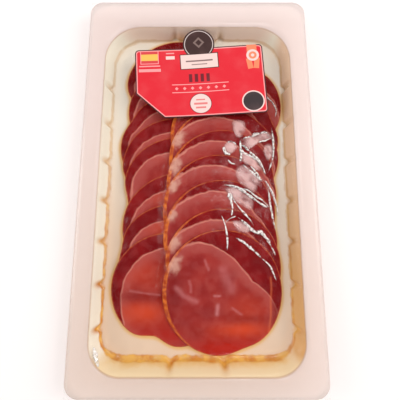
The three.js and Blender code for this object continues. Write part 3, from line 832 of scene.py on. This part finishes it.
BLISTERS = [
    "27.5 24.5, 31.8 26.4, 36.1 28.9, 40.4 30.6, 44.1 30.9, 46.7 27.7, 42.7 26.1, 38.4 24.2, 31.6 19.4",
    "16.6 19.4, 18.4 22.3, 22 22.3, 23.8 19.4, 21.3 16.3, 18.9 15.7",
    "26.7 17.5, 31.4 14.4, 36.1 11.3, 38.4 8.2, 35.9 5.8, 31.3 8.2, 27.8 10.7",
    "41.9 21.3, 45 23.2, 46.7 21.3, 46.5 16.9, 43.9 13.2, 41.9 15.7",
    "24 4.5, 28.8 7, 34.6 2.1, 36.8 -1.5, 33.1 -7.5, 28.5 -5.1, 25.1 -1.5",
    "17.9 -7.5, 22.6 -6.3, 28.4 -9.9, 31.8 -13.5, 30.5 -18.1, 25.9 -15.8, 21.3 -12.3",
    "21.1 -26.2, 25.7 -26.2, 30.1 -29.7, 27.8 -31.9, 23.3 -30.2",
    "22.3 36.2, 28.5 36.9, 29.6 32.5, 27 27, 23.4 28",
]


print(len(CREASES), "creases,", len(BLISTERS), "blisters")

# %% Draw smooth lines through corners
def smooth_path(corners, closed=False, step=0.6):
    """A Catmull-Rom curve through the corners: each stretch is a cubic whose slope at a corner is half
    the way from the corner before to the one after. A closed one comes back to the start."""
    ends = [corners[-1], corners[0], corners[1]] if closed else [corners[0], corners[-1]]
    p = np.array([ends[0], *corners, *ends[1:]])
    out = []
    for a, b, c, d in zip(p, p[1:], p[2:], p[3:]):
        t = np.linspace(0, 1, max(2, int(np.hypot(*(c - b)) / step)), endpoint=False)[:, None]
        square, cube = 2 * a - 5 * b + 4 * c - d, 3 * b - a - 3 * c + d
        out.append(0.5 * (2 * b + (c - a) * t + square * t**2 + cube * t**3))
    return np.concatenate([*out, p[-2:-1] if closed else p[-1:]])


def even_steps(line, stations):
    """Points at even steps along the whole length of a line that ends where it starts."""
    length = np.concatenate([[0], np.cumsum(np.hypot(*np.diff(line, axis=0).T))])
    at = np.linspace(0, length[-1], stations, endpoint=False)
    return np.stack([np.interp(at, length, line[:, k]) for k in (0, 1)], -1)

# %% Work out the folds
PINCH = 0.8
BLISTER_SPREAD, BLISTER_HEIGHT = 1.28, 0.25
rng = np.random.default_rng(7)


def crease_rings(width, corners):
    """Across the path, eight points of a tent, PINCH times its half width high. Its size is a power of
    a half sine along the path, times a running mean of random numbers."""
    path = smooth_path(corners)
    n = len(path)
    along = np.gradient(path, axis=0)
    along /= np.hypot(*along.T)[:, None]
    side = np.stack([-along[:, 1], along[:, 0]], -1)
    uneven = np.convolve(rng.uniform(0.0, 2.0, n + 4), np.ones(5) / 5, "valid")
    size = uneven * np.sin(np.linspace(0.04, np.pi - 0.04, n)) ** 0.6
    u = np.array([-1, -0.55, -0.2, 0, 0.2, 0.55, 1, 0]) * width
    v = np.array([0, 0.225, 0.775, 1, 0.775, 0.225, 0, -0.15]) * PINCH * width
    xy = path[:, None] + side[:, None] * (u[None, :, None] * size[:, None, None])
    z = height_at(film_top, *path.T)[:, None] + v * size[:, None]
    return np.concatenate([xy, z[..., None]], -1), np.repeat(size[:, None], 8, 1)


def blister_rings(corners):
    """Rings grow from the middle below and shrink back above, where the height is BLISTER_HEIGHT times
    1 less the share squared. The painted haze's strength is 1 less the share squared as well."""
    outline = even_steps(smooth_path(corners, closed=True), 60)
    shares = np.concatenate([np.linspace(0.1, 1, 6), np.linspace(1, 0.1, 10)])
    xy = outline.mean(0) + BLISTER_SPREAD * shares[:, None, None] * (outline - outline.mean(0))
    lift = np.where(np.arange(16) < 6, 0.03, 0.05 + BLISTER_HEIGHT * (1 - shares**2))
    z = height_at(film_top, xy[..., 0], xy[..., 1]) + lift[:, None]
    return np.concatenate([xy, z[..., None]], -1), np.repeat(1 - shares[:, None] ** 2, 60, 1)


def turned_outwards(points, faces):
    """Six times the volume is the sum over triangles of a . (b x c); if it is negative, faces flip."""
    a, b, c, d = (points[faces[0][:, k]] for k in range(4))
    volume = (a * np.cross(b, c)).sum() + (a * np.cross(c, d)).sum()
    return faces if volume > 0 else [f[:, ::-1] for f in faces]


folds = [("fade", *crease_rings(width, corners_of(path))) for width, path in CREASES]
folds += [("veil", *blister_rings(corners_of(outline))) for outline in BLISTERS]
fold_points, fold_faces, fold_values = np.zeros((0, 3)), [[], []], {"fade": [], "veil": []}
for kind, rings, strength in folds:
    points, faces = carried_round(rings)
    for parts, found in zip(fold_faces, turned_outwards(points, faces)):
        parts.append(found + len(fold_points))
    for key, values in fold_values.items():
        values.append(poles_too(strength) * (key == kind))
    fold_points = np.concatenate([fold_points, points])
print(len(fold_points), "points")

# %% Make the creases
def crease_film():
    """The film again, but painted white on the creases, a painted highlight, and pinkish-white on the
    blisters, a painted haze of reflected light.
    """
    material, c, surface = new_material("creased_film_painted_light")
    veil = c.value("veil")
    # The creases' white is a painted highlight.
    crease_glint = c.times(c.step(c.noise(1.2, 1.0), 0.32, 0.58), c.step(c.value("fade"), 0.15, 0.7))
    # The blisters' pinkish-white haze is a painted reflection.
    painted_haze = c.times(c.step(veil, 0.0, 0.85), c.times(c.step(c.noise(5.0, 1.0), 0.15, 0.6), 0.42))
    c.feed(surface, {"Base Color": c.blend(c.step(veil, 0.0, 0.1), (255, 250, 246), (255, 210, 206)),
                     "Alpha": c.larger(c.times(crease_glint, 0.95), painted_haze),
                     "Roughness": 0.25, "Coat Weight": 0.6, "Coat Roughness": 0.05})
    return material


make_piece("film_creases", fold_points, [np.concatenate(parts) for parts in fold_faces],
           crease_film(), [], {key: np.concatenate(v) for key, v in fold_values.items()})

# %% [markdown]
# ## The label
# A red sticker with one corner cut off, and a round emblem that stands proud of its top edge. It is
# stiffer than the film, so it lies on a more softened map and bridges the hollows.

# %% Cut the label's outline
LABEL = {"half": (40.7, 23.3), "at": (1.9, 62.6), "turn": 3.2, "corner": 2.5, "thickness": 0.2}
EMBLEM = {"at": (0.2, 25.8), "radius": 10.2}
CHAMFER = (17.3, 16.9)
LABEL_BEND, LABEL_GAP = 24.0, 0.08
UNDER_RINGS, OVER_RINGS = 12, 44


def arc(middle, radius, start, end, count):
    a = np.radians(np.linspace(start, end, count))
    return np.stack([middle[0] + radius * np.cos(a), middle[1] + radius * np.sin(a)], -1)


def label_outline(stations):
    """Corners and arcs in order, then even steps along their whole length. The emblem's arc starts
    where its circle crosses the label's top edge."""
    (w, h), r = LABEL["half"], LABEL["corner"]
    tilt = math.degrees(math.asin((EMBLEM["at"][1] - h) / EMBLEM["radius"]))
    corners = np.concatenate([
        [(-w + CHAMFER[0], -h)], arc((w - r, -h + r), r, -90, 0, 9), arc((w - r, h - r), r, 0, 90, 9),
        arc(EMBLEM["at"], EMBLEM["radius"], -tilt, 180 + tilt, 60), arc((-w + r, h - r), r, 90, 180, 9),
        [(-w, -h + CHAMFER[1])]])
    return even_steps(np.concatenate([corners, corners[:1]]), stations)

# %% Lay the label on the film
outline = label_outline(420)
scales = np.concatenate([np.linspace(0.05, 1, UNDER_RINGS), np.linspace(1, 0.03, OVER_RINGS)])
chart = scales[:, None, None] * outline[None]
lx, ly = np.add(np.array(LABEL["at"])[:, None, None], turned(chart[..., 0], chart[..., 1], LABEL["turn"]))
lz = height_at(softened(film_top, LABEL_BEND) + LABEL_GAP, lx, ly)
lz[UNDER_RINGS:] += LABEL["thickness"]
points, faces = carried_round(np.stack([lx, ly, lz], -1))
flat = np.stack([poles_too(chart[..., axis]) for axis in (0, 1)], -1)
label_edge = distance_to(outline, flat)
print("the label's top is at", round(float(lz.max()), 2), "mm")

# %% [markdown]
# ## The label's print
# The print is a list of boxes and discs of plain colour on the label's own chart in millimetres. Two
# small node groups draw them: each takes a place and puts out 1 inside the shape and 0 outside it.

# %% Build the two printed shapes
def beyond_box(c, off, given):
    """The larger of |x| less half the width and |y| less half the height, after turning by the tilt."""
    inputs = {"Vector": off, "Angle": given["Tilt"]}
    turned = c.node("ShaderNodeVectorRotate", inputs, rotation_type="Z_AXIS").outputs[0]
    over = c.vector("SUBTRACT", c.vector("ABSOLUTE", turned)[0], given["Half"])[0]
    parts = c.node("ShaderNodeSeparateXYZ", {0: over}).outputs
    return c.larger(parts[0], parts[1])


def beyond_disc(c, off, given):
    """The distance from the middle less the radius."""
    return c.minus(c.vector("LENGTH", off)["Value"], given["Radius"])


def printed_shape(name, beyond, **measures):
    """The mask is 1 where the distance beyond the border is negative, with a border 0.12 mm soft."""
    group = bpy.data.node_groups.new(name, "ShaderNodeTree")
    for key, kind in {"Place": "Vector", "Middle": "Vector", **measures}.items():
        group.interface.new_socket(key, in_out="INPUT", socket_type=f"NodeSocket{kind}")
    group.interface.new_socket("Mask", in_out="OUTPUT", socket_type="NodeSocketFloat")
    c = Chain(group)
    given = c.node("NodeGroupInput").outputs
    off = c.vector("SUBTRACT", given["Place"], given["Middle"])[0]
    c.node("NodeGroupOutput", {"Mask": c.step(beyond(c, off, given), 0.06, -0.06)})
    return group


PRINTED_BOX = printed_shape("printed_box", beyond_box, Half="Vector", Tilt="Float")
PRINTED_DISC = printed_shape("printed_disc", beyond_disc, Radius="Float")
print("printed shapes:", PRINTED_BOX.name, PRINTED_DISC.name)

# %% List the print
RED, PALE, DARK, CREAM = (222, 38, 52), (250, 158, 158), (64, 42, 40), (236, 208, 202)
ORANGE, YELLOW, ROSE, GREY = (244, 136, 98), (246, 190, 92), (226, 128, 126), (130, 106, 104)
# A box is its colour, middle, half sizes and tilt in degrees; a disc is its colour, middle and radius.
PRINT = [
    (ORANGE, (33.85, 19.4), (3.15, 4.0), 0),
    *[(ORANGE, (34.1 + 2.2 * side, 10.4), (1.7, 3.6), -8 * side) for side in (-1, 1)],
    (CREAM, (34.2, 16.0), 4.0), (ORANGE, (34.2, 16.0), 2.5), (CREAM, (34.2, 16.0), 1.1),
    (PALE, (-31.6, 17.9), (5.8, 4.6), 0), ((214, 70, 74), (-31.6, 17.9), (5.3, 4.1), 0),
    (YELLOW, (-31.6, 17.9), (5.3, 2.2), 0),
    (PALE, (-31.6, 11.9), (6.6, 0.45), 0), (PALE, (-31.6, 9.0), (6.9, 1.0), 0),
    (PALE, (-18.4, 20.3), (2.6, 0.4), 0), (CREAM, (-18.4, 17.3), (2.8, 1.1), 0),
    (DARK, EMBLEM["at"], 10.2), ((206, 190, 186), EMBLEM["at"], 9.3), (DARK, EMBLEM["at"], 8.8),
    ((128, 106, 100), (0.2, 27.0), (2.6, 2.6), 45), (DARK, (0.2, 27.0), (1.5, 1.5), 45),
    (DARK, (0.0, 14.3), (12.3, 5.2), 1), (CREAM, (0.0, 14.3), (11.8, 4.7), 1),
    (GREY, (0.0, 14.6), (8.6, 0.5), 1), ((150, 128, 124), (0.0, 12.2), (5.0, 0.35), 1),
    *[((112, 34, 44), (u, 3.0), (1.05, 2.7), 0) for u in (-6.1, -2.4, 1.3, 5.0)],
    *[(PALE, (-0.2, v), (17.9, 0.28), 0) for v in (-1.2, -6.5)],
    *[(PALE, (u, -3.85), (0.8, 0.8), 45) for u in (-15.2, -10.2, -5.2, -0.2, 4.8, 9.8, 14.8)],
    ((128, 34, 44), (-0.6, -14.5), 6.9), (CREAM, (-0.6, -14.5), 6.5),
    (ROSE, (-0.6, -11.8), (2.8, 0.45), 0), (ROSE, (-0.6, -14.5), (4.2, 0.7), 0),
    (ROSE, (-0.6, -17.2), (3.2, 0.6), 0),
    (CREAM, (32.1, -15.2), 7.0), ((58, 48, 50), (32.1, -15.2), 6.2),
]
print(len(PRINT), "printed fields")

# %% Print the label
def label_paper():
    """A dark edge and a pale key line follow the outline, and each field of the print lies over the
    ones before it."""
    material, c, surface = new_material("label_paper")
    place = c.node("ShaderNodeUVMap", uv_map="chart").outputs["UV"]
    edge = c.value("edge")
    colour = c.layers(RED, (c.step(edge, 1.35, 1.25), PALE), (c.step(edge, 0.7, 0.6), DARK))
    for ink, middle, size, *tilt in PRINT:
        measures = {"Half": (*size, 1), "Tilt": math.radians(-tilt[0])} if tilt else {"Radius": size}
        shape = c.node("ShaderNodeGroup", {"Place": place, "Middle": (*middle, 0), **measures},
                       node_tree=PRINTED_BOX if tilt else PRINTED_DISC)
        colour = c.blend(shape.outputs["Mask"], colour, ink)
    # Faint pale pink patches at random are a painted sheen.
    colour = c.blend(c.times(c.step(c.noise(12), 0.4, 0.8), 0.05), colour, (255, 190, 190))
    c.feed(surface, {"Base Color": colour, "Roughness": c.plus(0.34, c.times(c.noise(4), 0.14)),
                     "Specular IOR Level": 0.2, "Normal": c.relief(c.noise(9, 2.0), 0.15)})
    return material


make_piece("paper_label", points, faces, label_paper(), ["label"], {"edge": label_edge}, flat)

# %% [markdown]
# ## Bring the scene up to date
# The view layer is updated once more, so that every piece's place is worked out.

# %% Update the view layer
bpy.context.view_layer.update()
